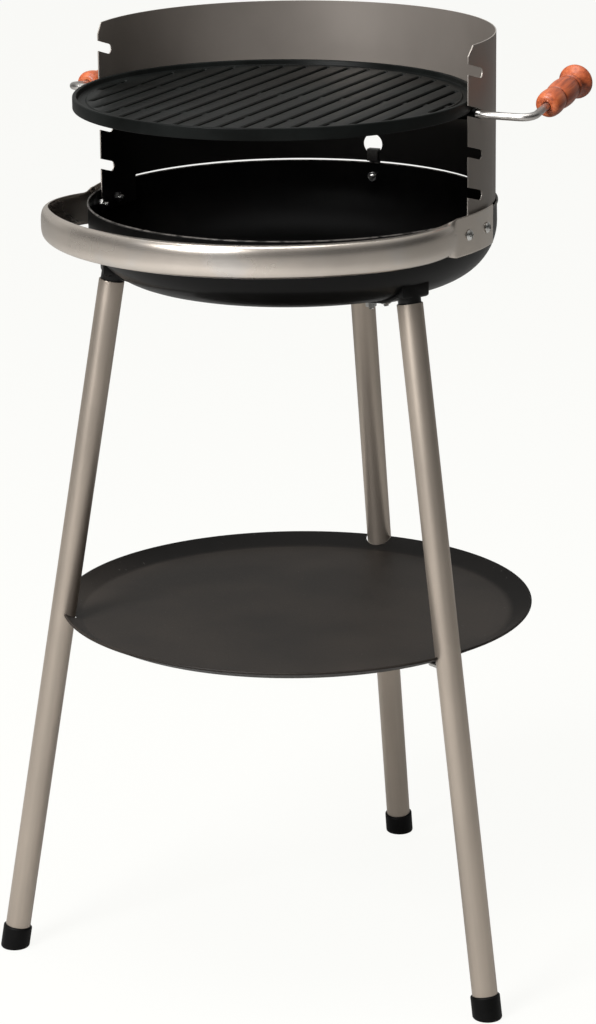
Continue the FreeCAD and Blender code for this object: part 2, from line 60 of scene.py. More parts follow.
class Wire:
    def __init__(self, graph, socket):
        self.graph = graph
        self.socket = socket

    def __getitem__(self, name):  # another output of the same node
        return Wire(self.graph, self.socket.node.outputs[name])

    def maths(self, operation, second=0.0):
        return self.graph.maths(operation, self, second)

    def __add__(self, value):
        return self.maths("ADD", value)

    def __radd__(self, value):
        return self.graph.maths("ADD", value, self)

    def __sub__(self, value):
        return self.maths("SUBTRACT", value)

    def __rsub__(self, value):
        return self.graph.maths("SUBTRACT", value, self)

    def __mul__(self, value):
        return self.maths("MULTIPLY", value)

    def __rmul__(self, value):
        return self.graph.maths("MULTIPLY", value, self)

    def __truediv__(self, value):
        return self.maths("DIVIDE", value)

    def __rtruediv__(self, value):
        return self.graph.maths("DIVIDE", value, self)

    def __pow__(self, value):
        return self.maths("POWER", value)

    def __gt__(self, value):
        return self.maths("GREATER_THAN", value)

    def __abs__(self):
        return self.maths("ABSOLUTE")

    def step(self, low, high):  # 0 below low, 1 above high, smooth between them
        return self.graph.add("ShaderNodeMapRange", {0: self, 1: low, 2: high},
                              interpolation_type="SMOOTHSTEP")


class Graph:
    def __init__(self, tree):
        self.tree = tree
        self.family = "GeometryNode" if tree.type == "GEOMETRY" else "ShaderNode"

    def plug(self, value, socket):
        if isinstance(value, Wire):
            self.tree.links.new(value.socket, socket)
        elif isinstance(value, list):  # several wires into one socket
            for wire in value:
                self.tree.links.new(wire.socket, socket)
        else:
            socket.default_value = value

    def add(self, kind, sockets=None, out=0, **settings):
        # a kind without a family is one of the tree's own
        node = self.tree.nodes.new(kind if "Node" in kind else self.family + kind)
        for name, value in settings.items():
            setattr(node, name, value)
        for key, value in (sockets or {}).items():
            self.plug(value, node.inputs[key])
        return Wire(self, node.outputs[out]) if len(node.outputs) else None

    def maths(self, operation, first, second):
        return self.add("ShaderNodeMath", {0: first, 1: second}, operation=operation)

    def vector(self, operation, first, second=None, scale=None):
        sockets = {0: first}
        if second is not None:
            sockets[1] = second
        if scale is not None:
            sockets["Scale"] = scale
        out = "Value" if operation in ("DOT_PRODUCT", "LENGTH") else "Vector"
        return self.add("ShaderNodeVectorMath", sockets, out, operation=operation)

    def split(self, vector):
        parts = self.add("ShaderNodeSeparateXYZ", {0: vector})
        return parts, parts["Y"], parts["Z"]

    def joined(self, x, y, z):
        return self.add("ShaderNodeCombineXYZ", {0: x, 1: y, 2: z})

    def moved(self, mesh, place=(0, 0, 0), turn=(0, 0, 0)):
        return self.add("Transform", {"Geometry": mesh, "Translation": place, "Rotation": turn})

    def shifted(self, geometry, x=0.0, y=0.0, z=0.0):  # point by point
        return self.add("SetPosition", {"Geometry": geometry, "Offset": self.joined(x, y, z)})

    def copied(self, points, shape, **more):  # a shape on every point
        return self.add("InstanceOnPoints", {"Points": points, "Instance": shape} | more)

    def real(self, copies):
        return self.add("RealizeInstances", {0: copies})

    def together(self, *parts):
        return self.add("JoinGeometry", {0: list(parts)})


class Finish(Graph):
    def __init__(self, name, constants):
        self.material = bpy.data.materials.new(name)
        self.material.use_nodes = True
        super().__init__(self.material.node_tree)
        self.shader = self.tree.nodes["Principled BSDF"]
        for socket, value in constants.items():
            self.shader.inputs[socket].default_value = value
        self.place = self.add("TexCoord", out="Object")

    def attribute(self, name):
        return self.add("Attribute", out="Vector", attribute_name=name)

    def noise(self, scale, detail=2.0, place=None, stretch=(1, 1, 1)):
        place = self.add("Mapping", {"Vector": place or self.place, "Scale": stretch})
        return self.add("TexNoise", {"Vector": place, "Scale": scale, "Detail": detail})

    def blend(self, factor, first, second):
        return self.add("Mix", {0: factor, 6: first, 7: second}, 2, data_type="RGBA")

    def ramp(self, factor, first, last, *between):
        ramp = self.add("ValToRGB", {0: factor})
        stops = ramp.socket.node.color_ramp.elements
        for stop, (place, colour) in zip(stops, (first, last)):
            stop.position = place
            stop.color = colour
        for place, colour in between:
            stops.new(place).color = colour
        return ramp

    def ridged(self, height, distance, strength, over=None):
        sockets = {"Height": height, "Distance": distance, "Strength": strength}
        if over:
            sockets["Normal"] = over
        return self.add("Bump", sockets)

    def facing(self, way):  # how far the piece's own normal points along a way
        normal = self.add("TexCoord", out="Normal")
        return self.vector("DOT_PRODUCT", normal, self.vector("NORMALIZE", way))

    def feed(self, colour, rough, normal):
        for socket, wire in (("Base Color", colour), ("Roughness", rough), ("Normal", normal)):
            self.plug(wire, self.shader.inputs[socket])
        return self.material


def chosen(measures, *names, **others):
    # the values for a tree's inputs: some of a piece's measures, and others worked out for it
    return {name: measures[name] for name in names} | others


def newTree(name, values):
    # a geometry tree with an input for each value, of the value's own kind
    tree = bpy.data.node_groups.new(name, "GeometryNodeTree")
    kinds = {int: "Int", float: "Float", tuple: "Vector", bpy.types.Object: "Object"}
    inputs = [("Geometry", "Geometry")] + [(label, kinds[type(value)]) for label, value in values.items()]
    for label, kind in inputs + [("Finish", "Material")]:
        tree.interface.new_socket(label, in_out="INPUT", socket_type="NodeSocket" + kind)
    tree.interface.new_socket("Geometry", in_out="OUTPUT", socket_type="NodeSocketGeometry")
    graph = Graph(tree)
    return graph, graph.add("NodeGroupInput")


def endTree(graph, given, geometry):
    painted = graph.add("SetMaterial", {"Geometry": graph.real(geometry), "Material": given["Finish"]})
    graph.add("NodeGroupOutput", {0: painted})
    return graph.tree


# Meshes and pieces

def arcPoints(centre, radius, start, end, count):
    angles = [radians(start + (end - start) * i / count) for i in range(count + 1)]
    return [(centre[0] + radius * cos(a), centre[1] + radius * sin(a)) for a in angles]


def roundedCorner(before, corner, after, radius, count=4):
    # the points of a fillet at a corner of an outline
    a = (Vector(before) - Vector(corner)).normalized()
    b = (Vector(after) - Vector(corner)).normalized()
    half = a.angle(b) / 2
    middle = Vector(corner) + (a + b).normalized() * (radius / sin(half))
    start = Vector(corner) + a * (radius / tan(half))
    end = Vector(corner) + b * (radius / tan(half))
    points = []
    for i in range(count + 1):
        way = (start - middle).lerp(end - middle, i / count).normalized()
        points.append(tuple(middle + way * radius))
    return points


def roundedOutline(corners):
    # corners are (r, z, fillet radius); the first and the last stay sharp
    points = [corners[0][:2]]
    for before, corner, after in zip(corners, corners[1:], corners[2:]):
        if corner[2]:
            points += roundedCorner(before[:2], corner[:2], after[:2], corner[2])
        else:
            points.append(corner[:2])
    return points + [corners[-1][:2]]


def latheMesh(name, outline, steps, closed=False):
    work = bmesh.new()
    rings = []
    for r, z in outline:
        if r < 1e-9:
            rings.append([work.verts.new((0, 0, z))])
        else:
            turns = [2 * pi * k / steps for k in range(steps)]
            rings.append([work.verts.new((r * cos(a), r * sin(a), z)) for a in turns])
    for low, high in zip(rings, rings[1:] + rings[:1] if closed else rings[1:]):
        for k in range(steps):
            corners = [low[k % len(low)], low[(k + 1) % steps % len(low)],
                       high[(k + 1) % steps % len(high)], high[k % len(high)]]
            corners = list(dict.fromkeys(corners))
            if len(corners) > 2:
                work.faces.new(corners)
    bmesh.ops.recalc_face_normals(work, faces=work.faces)
    return bmeshDone(name, work)


def addRod(work, radius, length, sides):
    return bmesh.ops.create_cone(work, cap_ends=True, segments=sides, radius1=radius, radius2=radius,
                                 depth=length)


def polyLine(name, points):
    line = bpy.data.curves.new(name, "CURVE")
    line.dimensions = "3D"
    spline = line.splines.new("POLY")
    spline.points.add(len(points) - 1)
    for point, place in zip(spline.points, points):
        point.co = (*place, 1.0)
    return line


def opened(*meshes):
    work = bmesh.new()
    for mesh in meshes:
        work.from_mesh(mesh)
    return work


def bmeshDone(name, work):
    mesh = bpy.data.meshes.new(name)
    work.to_mesh(mesh)
    work.free()
    return mesh


def keepPlaces(mesh, name, shift=(0, 0, 0)):
    # each vertex keeps the place that it has now, for the finish
    places = mesh.attributes.new(name, "FLOAT_VECTOR", "POINT")
    for value, vertex in zip(places.data, mesh.vertices):
        value.vector = vertex.co + Vector(shift)


def standObject(name, data):
    thing = bpy.data.objects.new(name, data)
    scene.collection.objects.link(thing)
    return thing


def settled(source):
    # the object with its modifiers as a plain mesh; the object itself goes
    graph = bpy.context.evaluated_depsgraph_get()
    mesh = bpy.data.meshes.new_from_object(source.evaluated_get(graph), depsgraph=graph)
    bpy.data.objects.remove(source)
    return mesh


def addBevel(thing, width, segments=2, angle=60.0):
    bevel = thing.modifiers.new("Edges", "BEVEL")
    bevel.width = width
    bevel.segments = segments
    bevel.limit_method = "ANGLE"
    bevel.angle_limit = radians(angle)
    bevel.use_clamp_overlap = True


def grown(data, tree, values, finish, finishing=None):
    # what a geometry tree makes of a mesh or curve, as a plain mesh
    source = bpy.data.objects.new(tree.name, data)
    modifier = source.modifiers.new(tree.name, "NODES")
    modifier.node_group = tree
    for item in tree.interface.items_tree:
        if item.in_out == "INPUT" and item.name in values:
            modifier[item.identifier] = values[item.name]
        if item.name == "Finish":
            modifier[item.identifier] = finish
    if finishing:
        finishing(source)
    scene.collection.objects.link(source)
    return settled(source)


def carved(mesh, cutter, operation):
    target = standObject("carved", mesh)
    tool = standObject("cutter", cutter)
    boolean = target.modifiers.new("Carve", "BOOLEAN")
    boolean.operation = operation
    boolean.object = tool
    boolean.solver = "EXACT"
    result = settled(target)
    bpy.data.objects.remove(tool)
    return result


def addPiece(node, mesh, body, finish=None, smooth=35.0, replaced=None):
    # named after its node, which it stands for unless other nodes are given
    if finish:
        mesh.materials.clear()
        mesh.materials.append(finish)
    mesh.shade_smooth()
    mesh.set_sharp_from_angle(angle=radians(smooth))
    first, *rest = node.split("_")
    piece = standObject(first + "".join(word.title() for word in rest), mesh)
    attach(piece, body)
    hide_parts(*(replaced or [node]))


def softenedCopy(node, width):
    # a CAD node's mesh, welded and with its hard edges rounded
    work = opened(nodes[node].data)
    weld, flat = 0.002 * mm, radians(0.5)
    bmesh.ops.remove_doubles(work, verts=work.verts, dist=weld)
    bmesh.ops.dissolve_limit(work, angle_limit=flat, verts=work.verts, edges=work.edges)
    thing = standObject(node + "Copy", bmeshDone(node + "Copy", work))
    addBevel(thing, width, angle=40.0)
    return settled(thing)


# Fire bowl

bowl = inMm(wall=1.2, beadRadius=1.0, cornerRadius=46, cornerDrop=18.5) | {
    "floorSlope": 8.0, "steps": 180, "arcSteps": 16, "beadStart": 180.0, "beadEnd": -95.0, "beadSteps": 18,
    "black": (0.0016, 0.0015, 0.0015, 1), "soot": (0.0032, 0.003, 0.0028, 1), "worn": (0.2, 0.185, 0.17, 1),
}
bowlInner = (bowlHigh.x - bowlLow.x) / 2 - 2 * bowl["beadRadius"]
bowlOuter = bowlInner + bowl["wall"]
cornerCentre = (bowlOuter - bowl["cornerRadius"], bowlHigh.z - bowl["cornerDrop"])


def bowlDome():
    # the height of the middle of the floor's dome, and its radius at the outer face
    slope = radians(bowl["floorSlope"])
    radius = (cornerCentre[0] + bowl["cornerRadius"] * sin(slope)) / sin(slope)
    middle = cornerCentre[1] - bowl["cornerRadius"] * cos(slope) + radius * cos(slope)
    return middle, radius


def bowlFinish():
    paint = Finish("blackEnamel", {"Specular IOR Level": 0.08, "Coat Roughness": 0.14})
    middle = axis + Vector((0, 0, bowlHigh.z))
    outside = paint.facing(paint.vector("SUBTRACT", paint.place, tuple(middle))).step(0.0, 0.1)
    paint.plug(0.18 * outside, paint.shader.inputs["Coat Weight"])
    soot = paint.noise(26.0, 6.0)
    peel = paint.noise(520.0, 1.0)
    height = paint.split(paint.place)[2]
    rim = height.step(bowlHigh.z - 1.3 * mm, bowlHigh.z - 0.5 * mm) * paint.noise(160.0, 3.0).step(0.3, 0.62)
    colour = paint.blend(soot.step(0.42, 0.75), bowl["black"], bowl["soot"])
    colour = paint.blend(rim * 0.6, colour, bowl["worn"])
    return paint.feed(colour, 0.42 + 0.16 * soot, paint.ridged(peel, 0.05 * mm, 0.25))


def spinBowl():
    domeZ, domeRadius = bowlDome()
    turn = 90.0 - bowl["floorSlope"]
    wall, count = bowl["wall"], bowl["arcSteps"]
    beadMiddle = (bowlInner + bowl["beadRadius"], bowlHigh.z - bowl["beadRadius"])
    bead = arcPoints(beadMiddle, bowl["beadRadius"], bowl["beadStart"], bowl["beadEnd"], bowl["beadSteps"])
    inside = arcPoints((0, domeZ), domeRadius - wall, -90.0, -turn, count)
    inside += arcPoints(cornerCentre, bowl["cornerRadius"] - wall, -turn, 0.0, count)[1:]
    outside = arcPoints(cornerCentre, bowl["cornerRadius"], 0.0, -turn, count)
    outside += arcPoints((0, domeZ), domeRadius, -turn, -90.0, count)[1:]
    inside[0] = (0.0, inside[0][1])
    outside[-1] = (0.0, outside[-1][1])
    mesh = latheMesh("fireBowl", inside + bead + outside, bowl["steps"])
    mesh.transform(ontoAxis)
    addPiece("fire_bowl", mesh, "stand", bowlFinish(), 60.0)


spinBowl()
print("bowl spun")


# Windshield: the sheet is bent first, then the tree cuts its notches, corners, vent and lower edge

shieldLow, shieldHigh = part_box("windshield")
rodLow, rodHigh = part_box("handle_rod_right")
plateLow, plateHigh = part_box("grill_plate")
rod = inMm(radius=3.25, bendRadius=11, y=-1.5, innerX=120, intoGrip=54) | {
    "sides": 28, "bendSteps": 16,
    "bright": (0.62, 0.6, 0.575, 1), "dull": (0.44, 0.42, 0.4, 1),
}
rodZ = rodLow.z + rod["radius"]
rodEnds = {"right": rodHigh.x - rod["radius"] - axis.x,
           "left": axis.x - rod["radius"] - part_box("handle_rod_left")[0].x}
shield = inMm(sheet=1.0, gap=1.7, notchHeight=8.5, notchPitch=34.2, notchPlay=0.3, corner=8.5, ventRadius=9,
              ventZ=687.4, bevel=0.22) | {
    "pastHalf": 8.0, "tabAngle": 12.0, "steps": 150, "notches": 4, "below": 2, "notchFall": radians(15.0),
    "notchSides": 40, "ventSides": 48,
    "dark": (0.2, 0.177, 0.157, 1), "light": (0.25, 0.223, 0.199, 1), "edge": (0.42, 0.385, 0.35, 1),
    # the last colour here is painted shade, for the inner face below the plate
    "soot": (0.002, 0.0019, 0.0018, 1),
}
shieldOuter = (shieldHigh.x - shieldLow.x) / 2
shieldInner = shieldOuter - shield["sheet"]


def shieldFinish():
    paint = Finish("shieldPaint", {"Specular IOR Level": 0.3, "Metallic": 0.4})
    x, y, z = paint.split(paint.place)
    facing = paint.facing(paint.joined(x - axis.x, y - axis.y, 0.0))
    # Painted highlight: the sheet's cut edges, whose normals lie across the radius, are painted lighter.
    edge = (1.0 - abs(facing)).step(0.35, 0.75)
    # Painted shade: the inner face below the plate is painted near black, where the plate shades it.
    paintedShade = (1.0 - facing.step(-0.3, 0.0)) * (1.0 - z.step(plateLow.z - 40 * mm, plateLow.z + 12 * mm))
    cloud = paint.noise(7.0, 5.0)
    grain = paint.noise(900.0, 2.0)
    colour = paint.blend(cloud.step(0.3, 0.7), shield["dark"], shield["light"])
    colour = paint.blend(edge * 0.75, colour, shield["edge"])
    colour = paint.blend(paintedShade * 0.97, colour, shield["soot"])
    return paint.feed(colour, 0.38 + 0.1 * cloud + 0.2 * paintedShade, paint.ridged(grain, 0.04 * mm, 0.3))


def sheetSector():
    start = radians(-shield["pastHalf"])
    sweep = pi - 2 * start
    section = ((shieldOuter, shieldLow.z), (shieldOuter, shieldHigh.z),
               (shieldInner, shieldHigh.z), (shieldInner, shieldLow.z))
    work = bmesh.new()
    rows = []
    for k in range(shield["steps"] + 1):
        a = start + sweep * k / shield["steps"]
        rows.append([work.verts.new((r * cos(a), r * sin(a), z)) for r, z in section])
    for a, b in zip(rows, rows[1:]):
        for i in range(4):
            work.faces.new((a[i], b[i], b[(i + 1) % 4], a[(i + 1) % 4]))
    work.faces.new(rows[0])
    work.faces.new(rows[-1][::-1])
    bmesh.ops.recalc_face_normals(work, faces=work.faces)
    return bmeshDone("windshield", work)


def notchTree(values):
    graph, given = newTree("notchedSheet", values)
    wide = 0.5  # cutters are wider than the sheet, and longer than the notches are deep
    reach = 0.08
    half = given["notchHeight"] / 2.0
    quarter = pi / 2

    def block(x, y, z):
        return graph.add("MeshCube", {"Size": graph.joined(x, y, z)})

    sides = shield["notchSides"]
    notch = graph.add("MeshCylinder", {"Vertices": sides, "Radius": half, "Depth": wide})
    notch = graph.moved(graph.moved(notch, turn=(0, 0, pi / sides)), turn=(0, quarter, 0))
    y = graph.split(graph.add("InputPosition"))[1]
    notch = graph.shifted(notch, y=((y * -1.0) > 0.0) * -reach)
    notch = graph.moved(notch, graph.joined(0.0, given["notchEnd"], 0.0),
                        graph.joined(given["notchFall"] * -1.0, 0.0, 0.0))
    levels = graph.add("MeshLine", {
        "Count": given["notches"], "Start Location": graph.joined(0.0, 0.0, given["lowestNotch"]),
        "Offset": graph.joined(0.0, 0.0, given["notchPitch"])})
    cutters = [graph.real(graph.copied(levels, notch))]
    out = reach / 2 * sqrt(0.5)
    middle = given["corner"] / 2.0
    place = graph.joined(0.0, given["frontEdge"] + middle - out, given["top"] - middle + out)
    cutters.append(graph.moved(block(wide, reach, reach), place, (quarter / 2, 0, 0)))
    vent = graph.add("MeshCylinder", {
        "Vertices": shield["ventSides"], "Radius": given["ventRadius"], "Depth": wide / 2})
    cutters.append(graph.moved(vent, graph.joined(0.0, wide / 4 + reach, given["ventZ"]), (quarter, 0, 0)))
    place = graph.joined(0.0, given["tabEnd"] + wide / 2, given["lowerEdge"] - wide / 2)
    cutters.append(graph.moved(block(wide, wide, wide), place))
    cut = graph.add("MeshBoolean", {"Mesh 1": given, "Mesh 2": cutters}, operation="DIFFERENCE")
    return endTree(graph, given, cut)


def bendShield():
    notchZ = rodZ + shield["notchHeight"] / 2 - rod["radius"] - shield["notchPlay"]
    values = chosen(
        shield, "notches", "notchPitch", "notchHeight", "notchFall", "corner", "ventRadius", "ventZ",
        lowestNotch=notchZ - shield["below"] * shield["notchPitch"], notchEnd=rod["y"], top=shieldHigh.z,
        frontEdge=-shieldOuter * sin(radians(shield["pastHalf"])), lowerEdge=bowlHigh.z + shield["gap"],
        tabEnd=shieldOuter * sin(radians(shield["tabAngle"])))
    mesh = grown(sheetSector(), notchTree(values), values, shieldFinish(),
                 lambda source: addBevel(source, shield["bevel"], 1))
    mesh.transform(ontoAxis)
    addPiece("windshield", mesh, "stand", smooth=40.0)


bendShield()
print("windshield bent and notched")


# Front rail: a strip that follows its path, rolled to a channel and pressed flat at both tabs

rail = inMm(arcRadius=201, arcX=-13, arcY=-7.5, tabRadius=177.1, pressRun=14, height=28, depth=7.5,
            tabHeight=33, sheet=1.3, bevel=0.3) | {
    "right": {"arc": 52.8, "bendRadius": 120 * mm, "bendTurn": 42.0},
    "left": {"arc": 54.0, "bendRadius": 70 * mm, "bendTurn": 62.0},
    "tabEnd": 7.0, "smoothing": 10, "wrap": radians(86.0), "roundness": 0.7, "stations": 460, "lines": 29,
    "silver": (0.7, 0.63, 0.56, 1), "shade": (0.57, 0.515, 0.46, 1), "blue": (0.58, 0.59, 0.6, 1),
}
railLow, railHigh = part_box("front_rail")
railZ = (railLow.z + railHigh.z) / 2


def polar(radius, azimuth):
    a = radians(azimuth)
    return Vector((radius * cos(a), radius * sin(a)))


def railHalf(arcX, end):
    # outer line of a right-hand half from the middle of the front, a point a millimetre, and its tab's length
    middle = Vector((arcX, rail["arcY"]))
    arcEnd = end["arc"] - 90.0
    bendEnd = arcEnd + end["bendTurn"]
    bendMiddle = middle + polar(rail["arcRadius"] - end["bendRadius"], arcEnd)
    arcCount = round(radians(end["arc"]) * rail["arcRadius"] / mm)
    bendCount = round(radians(end["bendTurn"]) * end["bendRadius"] / mm)
    points = [middle + polar(rail["arcRadius"], -90.0 + end["arc"] * i / arcCount) for i in range(arcCount)]
    points += [bendMiddle + polar(end["bendRadius"], arcEnd + end["bendTurn"] * i / bendCount)
               for i in range(bendCount + 1)]
    while points[-1].length > rail["tabRadius"]:  # straight in to the bowl
        points.append(points[-1] + polar(mm, bendEnd + 90.0))
    creaseAt = degrees(atan2(points[-1].y, points[-1].x))
    tabLength = radians(rail["tabEnd"] - creaseAt) * rail["tabRadius"]
    tabCount = round(tabLength / mm)
    points += [polar(rail["tabRadius"], creaseAt + (rail["tabEnd"] - creaseAt) * i / tabCount)
               for i in range(1, tabCount + 1)]
    return points, tabLength


def railPath():
    right, rightTab = railHalf(rail["arcX"], rail["right"])
    left, leftTab = railHalf(-rail["arcX"], rail["left"])
    whole = right[::-1] + [Vector((-p.x, p.y)) for p in left[1:]]
    for i in range(rail["smoothing"]):  # eases the creases at the tabs
        whole[1:-1] = [(a + 2 * b + c) / 4 for a, b, c in zip(whole, whole[1:], whole[2:])]
    line = polyLine("railPath", [(p.x + axis.x, p.y + axis.y, railZ) for p in whole])
    total = sum((a - b).length for a, b in zip(whole, whole[1:]))
    return line, rightTab / total, leftTab / total, rail["pressRun"] / total


def railFinish():
    paint = Finish("railSilver", {"Metallic": 0.88})
    cloud = paint.noise(11.0, 4.0)
    stain = paint.noise(23.0, 3.0).step(0.56, 0.72)
    flake = paint.noise(240.0, 2.0)
    colour = paint.blend(cloud.step(0.3, 0.7), rail["shade"], rail["silver"])
    colour = paint.blend(stain * 0.35, colour, rail["blue"])
    return paint.feed(colour, 0.22 + 0.1 * cloud, paint.ridged(flake, 0.02 * mm, 0.03))


def railTree(values):
    graph, given = newTree("rolledRail", values)
    strip = graph.add("MeshGrid", {
        "Size X": 1.0, "Size Y": 1.0, "Vertices X": given["stations"], "Vertices Y": given["lines"]})
    x, y, z = graph.split(graph.add("InputPosition"))
    share = x + 0.5
    rolled = share.step(given["rightTab"], given["rightTab"] + given["press"])
    rolled = rolled * (1.0 - share).step(given["leftTab"], given["leftTab"] + given["press"])
    turn = y * 2.0 * given["wrap"]
    lift = turn.maths("SINE")
    lift = lift.maths("SIGN") * abs(lift) ** given["roundness"]
    rise = rolled * given["height"] * 0.5 * lift + (1.0 - rolled) * y * given["tabHeight"]
    depth = rolled * given["depth"] * (1.0 - turn.maths("COSINE") ** given["roundness"])
    path = graph.add("ObjectInfo", {"Object": given["path"]}, "Geometry")
    sample = graph.add("SampleCurve", {"Curves": path, "Factor": share}, "Position", mode="FACTOR",
                       use_all_curves=True)
    inwards = graph.vector("NORMALIZE", graph.vector("CROSS_PRODUCT", sample["Tangent"], (0, 0, 1)))
    place = graph.vector("ADD", sample, graph.vector("SCALE", inwards, scale=depth))
    place = graph.vector("ADD", place, graph.joined(0.0, 0.0, rise))
    shaped = graph.add("SetPosition", {"Geometry": strip["Mesh"], "Position": place})
    shaped = graph.add("FlipFaces", {"Mesh": shaped})
    return endTree(graph, given, shaped)


def thickenRail(source):
    wall = source.modifiers.new("Sheet", "SOLIDIFY")
    wall.thickness = rail["sheet"]
    wall.offset = -1.0
    addBevel(source, rail["bevel"])


def rollRail():
    line, rightTab, leftTab, press = railPath()
    path = standObject("railPath", line)
    values = chosen(rail, "stations", "lines", "height", "depth", "wrap", "roundness", "tabHeight",
                    path=path, rightTab=rightTab, leftTab=leftTab, press=press)
    mesh = grown(bpy.data.meshes.new("frontRail"), railTree(values), values, railFinish(), thickenRail)
    bpy.data.objects.remove(path)
    addPiece("front_rail", mesh, "stand", smooth=40.0)


rollRail()
print("rail rolled")


# Grill plate: the rim is spun, and the tree fills its middle with slotted bars

plateCentre = Vector(((plateLow.x + plateHigh.x) / 2, (plateLow.y + plateHigh.y) / 2, 0))
plate = inMm(rimWidth=4, lip=4.5, lipDrop=1, skirt=11.5, web=4, edge=1.2, gutterWidth=8, gutterDepth=1,
             lowEdge=0.8, bevel=0.5, pitch=19, slotWidth=3.8, slotStop=3.5, shoulder=1.5, bridgeLength=8,
             bridgeDepth=1.2, bridgeFront=-92, bridgeRear=13, sleeveRadius=5, ribWidth=6, sleeveInner=112,
             sleeveOuter=169.3, doming=0.6, gutterRound=0.4, gutterFillet=1.0, lipFoot=0.3, lipLean=0.5,
             ribSink=1, bridgeLap=1.6, weld=0.02) | {
    "steps": 192, "slots": 17, "slotEnds": 16, "sleeveSides": 32,
    "iron": (0.0035, 0.004, 0.0037, 1), "worn": (0.009, 0.0102, 0.0097, 1),
}
plateRadius = (plateHigh.x - plateLow.x) / 2
plateTop = plateHigh.z - plate["lip"]
plateInner = plateRadius - plate["rimWidth"]
fieldRadius = plateInner - plate["gutterWidth"]
skirtBottom = plateHigh.z - plate["skirt"]


def plateFinish():
    iron = Finish("enamelledIron", {"Specular IOR Level": 0.06})
    grain = iron.noise(420.0, 4.0)
    patch = iron.noise(16.0, 5.0)
    colour = iron.blend(patch.step(0.35, 0.7), plate["iron"], plate["worn"])
    rough = 0.26 + 0.16 * patch + 0.06 * grain
    x, y, z = iron.split(iron.vector("SUBTRACT", iron.place, tuple(plateCentre)))
    across = x / plate["pitch"]
    across = abs(across.maths("FRACT") - 0.5) * 2.0  # 0 along the middle of a bar, 1 along a slot
    onField = iron.facing((0, 0, 1)).step(0.8, 0.95) * (x * x + y * y).maths("LESS_THAN", fieldRadius ** 2)
    domed = iron.ridged((1.0 - across * across) * onField, plate["doming"], 1.0)
    return iron.feed(colour, rough, iron.ridged(grain, 0.12 * mm, 0.35, domed))


def slotTree(values):
    graph, given = newTree("slottedField", values)
    half = given["slotWidth"] / 2.0
    shoulder = given["shoulder"]
    web = given["web"]
    first = (given["slots"] - 1.0) * given["pitch"] * -0.5
    slots = graph.add("MeshLine", {
        "Count": given["slots"], "Start Location": graph.joined(first, 0.0, 0.0),
        "Offset": graph.joined(given["pitch"], 0.0, 0.0)})
    x, y, z = graph.split(graph.add("InputPosition"))
    reach = (given["slotReach"] * given["slotReach"] - x * x) ** 0.5
    slots = graph.add("StoreNamedAttribute", {"Geometry": slots, "Name": "slotHalf", "Value": reach},
                      data_type="FLOAT", domain="POINT")
    slotHalf = graph.add("InputNamedAttribute", {"Name": "slotHalf"}, data_type="FLOAT")
    ends = plate["slotEnds"]

    def alongSlots(shape):  # a round shape at every slot, drawn out to the slot's length
        shape = graph.moved(shape, turn=(0, 0, pi / ends))
        return graph.shifted(graph.real(graph.copied(slots, shape)), y=y.maths("SIGN") * (slotHalf - half))

    def sheet(radius, height):  # the field with its slots left open
        ring = graph.add("CurvePrimitiveCircle", {"Resolution": ends, "Radius": radius})
        border = graph.add("CurvePrimitiveCircle", {
            "Resolution": given["steps"], "Radius": given["fieldRadius"]})
        face = graph.add("FillCurve", {"Curve": graph.together(border, alongSlots(ring))})
        return graph.moved(face, graph.joined(0.0, 0.0, height))

    wall = graph.add("MeshCylinder", {"Vertices": ends, "Side Segments": 5, "Radius": 1.0, "Depth": 1.0},
                     fill_type="NONE")
    down = 0.5 - z  # four of the wall's five rows turn in round the shoulder, and the last goes straight down
    turn = (down / 0.8).maths("MINIMUM", 1.0) * (pi / 2)
    radius = half + shoulder * (1.0 - turn.maths("SINE"))
    drop = shoulder * (1.0 - turn.maths("COSINE"))
    drop = drop + (down - 0.8).maths("MAXIMUM") * 5.0 * (web - shoulder)
    wall = graph.add("SetPosition", {
        "Geometry": wall, "Position": graph.joined(x * radius, y * radius, drop * -1.0)})
    parts = [sheet(half + shoulder, 0.0), sheet(half, web * -1.0), alongSlots(wall)]
    bridge = graph.add("MeshCube", {
        "Size": graph.joined(half * 2.0 + plate["bridgeLap"], given["bridgeLength"],
                             web - given["bridgeDepth"])})
    for place in ("bridgeFront", "bridgeRear"):
        middle = given[place]
        low = (web + given["bridgeDepth"]) * -0.5
        points = graph.shifted(slots, y=middle, z=low)
        reached = slotHalf > (abs(middle) + given["bridgeLength"])
        parts.append(graph.copied(points, bridge, Selection=reached))
    field = graph.moved(graph.real(graph.together(*parts)), given["place"])
    whole = graph.add("MergeByDistance", {
        "Geometry": graph.together(given, field), "Distance": plate["weld"]})
    return endTree(graph, given, whole)


